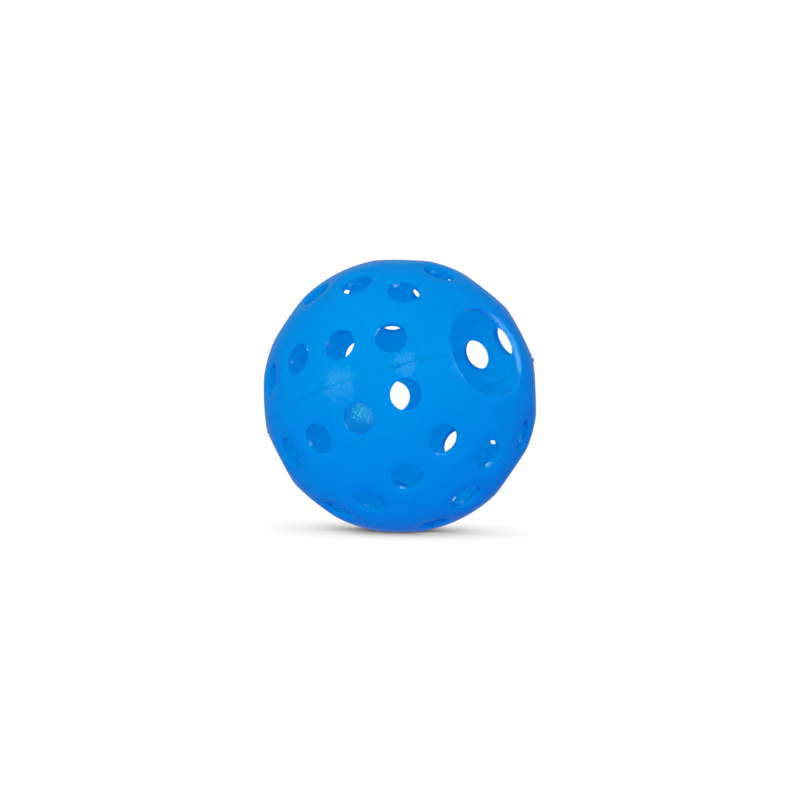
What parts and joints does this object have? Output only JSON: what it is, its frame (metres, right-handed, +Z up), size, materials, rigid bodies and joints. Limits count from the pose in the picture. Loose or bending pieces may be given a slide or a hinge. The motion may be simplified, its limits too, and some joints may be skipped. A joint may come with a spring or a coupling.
{
  "type": "perforated ball",
  "caption": "Hollow moulded play ball with rings of small round holes, a larger round opening and a welded seam round its middle.",
  "frame": {"origin": "centre of the ball", "axes": "+Z up through the centres of two opposite small holes, the ball standing on the land round the lower one; the big opening's axis lies in the XZ plane, 22.5 degrees above +X"},
  "size_m": [0.074, 0.074, 0.0726],
  "materials": {
    "shell": "satin, slightly translucent moulded polyethylene",
    "weld": "satin, slightly darker where the halves are fused"
  },
  "bodies": {
    "root": {"upper_half": "shell", "lower_half": "shell", "weld_seam": "weld"}
  },
  "joints": []
}
